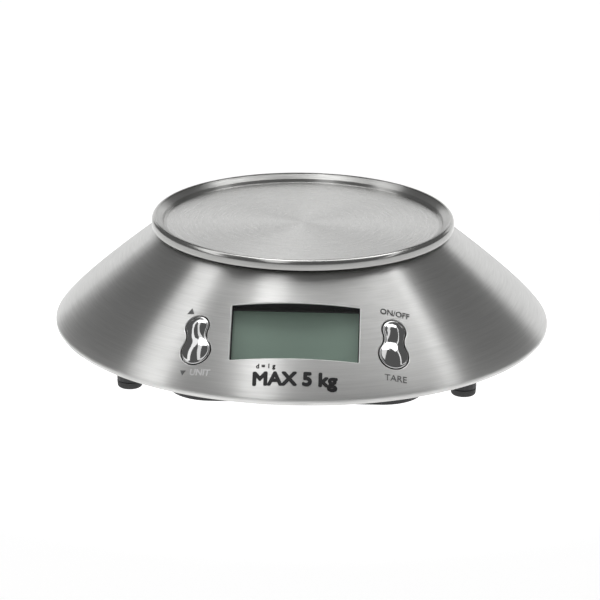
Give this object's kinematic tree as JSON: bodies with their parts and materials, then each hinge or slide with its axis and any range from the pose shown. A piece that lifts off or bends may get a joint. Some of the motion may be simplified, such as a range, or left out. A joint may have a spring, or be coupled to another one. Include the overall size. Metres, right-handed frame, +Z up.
{
  "type": "kitchen scale",
  "caption": "Round domed kitchen scale: brushed steel cover, dished weighing plate on a load cell, display window and rocker keys on the front slope, rubber feet.",
  "frame": {"origin": "on the table, under the middle of the round body", "axes": "+Z up, the display faces -Y, +X to the right as seen from the front"},
  "size_m": [0.24, 0.24, 0.0655],
  "materials": {
    "brushed_steel": "spun and brushed stainless steel, satin",
    "chrome": "polished chrome plating on plastic",
    "plain_steel": "zinc-plated steel, satin",
    "aluminium": "machined, satin",
    "nickel": "nickel-plated spring steel",
    "black_plastic": "moulded, fine matt grain",
    "rubber": "moulded, matt",
    "clear_lens": "clear acrylic, glossy",
    "lcd_glass": "grey-green liquid-crystal glass with a polariser film",
    "circuit_board": "green solder mask",
    "brass": "turned",
    "foam_tape": "white double-sided foam tape",
    "silicone": "white silicone",
    "contact_strip": "layered elastomer",
    "switch_metal": "stamped switch can",
    "red_jacket": "vinyl wire insulation",
    "white_jacket": "vinyl wire insulation",
    "cell_jacket": "plain printed cell sleeve"
  },
  "bodies": {
    "housing": {"cover": "brushed_steel", "load_cell": "aluminium", "gauge_sealant_top": "silicone", "gauge_sealant_bottom": "silicone", "lower_cell_spacer": "plain_steel", "lower_cell_screw_1": "plain_steel", "lower_cell_screw_2": "plain_steel", "overload_stop": "brass", "base_tub": "black_plastic", "front_left_foot": "rubber", "front_right_foot": "rubber", "rear_left_foot": "rubber", "rear_right_foot": "rubber", "upper_frame": "black_plastic", "cover_tape_ring": "foam_tape", "case_screw_1": "plain_steel", "case_screw_2": "plain_steel", "case_screw_3": "plain_steel", "case_screw_4": "plain_steel", "display_bezel": "black_plastic", "display_lens": "clear_lens", "lcd_panel": "lcd_glass", "upper_contact_strip": "contact_strip", "lower_contact_strip": "contact_strip", "main_board": "circuit_board", "controller_chip": "black_plastic", "board_screw_1": "plain_steel", "board_screw_2": "plain_steel", "left_key_cradle": "black_plastic", "right_key_cradle": "black_plastic", "left_key_axle": "plain_steel", "right_key_axle": "plain_steel", "left_key_board": "circuit_board", "right_key_board": "circuit_board", "left_upper_switch": "switch_metal", "left_lower_switch": "switch_metal", "right_upper_switch": "switch_metal", "right_lower_switch": "switch_metal", "battery_1": "cell_jacket", "battery_2": "cell_jacket", "battery_spring_1": "nickel", "battery_spring_2": "nickel", "link_contact": "nickel", "negative_contact": "nickel", "positive_contact": "nickel", "buzzer": "black_plastic", "load_cell_lead": "white_jacket", "battery_lead": "red_jacket", "left_key_lead": "red_jacket", "right_key_lead": "red_jacket"},
    "platform": {"weighing_plate": "brushed_steel", "plate_tape_ring": "foam_tape", "plate_carrier": "black_plastic", "upper_cell_spacer": "plain_steel", "upper_cell_screw_1": "plain_steel", "upper_cell_screw_2": "plain_steel"},
    "left_rocker": {"left_key": "chrome"},
    "right_rocker": {"right_key": "chrome"},
    "battery_lid": {"battery_door": "black_plastic"}
  },
  "joints": [
    {"name": "platform_travel", "type": "slide", "parent": "housing", "child": "platform", "axis": [0, 0, -1], "range_m": [0, 0.00025], "stiffness_N_per_m": 196000},
    {"name": "left_key_tilt", "type": "hinge", "parent": "housing", "child": "left_rocker", "pos_m": [-0.04362, -0.08711, 0.0305], "axis": [0.9566, -0.188, 0.2228], "range_deg": [-3.5, 3.5], "stiffness_Nm_per_rad": 0.25},
    {"name": "right_key_tilt", "type": "hinge", "parent": "housing", "child": "right_rocker", "pos_m": [0.04362, -0.08711, 0.0305], "axis": [0.9566, 0.188, -0.2228], "range_deg": [-3.5, 3.5], "stiffness_Nm_per_rad": 0.25},
    {"name": "battery_door_swing", "type": "hinge", "parent": "housing", "child": "battery_lid", "pos_m": [0, 0.0706, 0.0041], "axis": [1, 0, 0], "range_deg": [0, 80]}
  ]
}
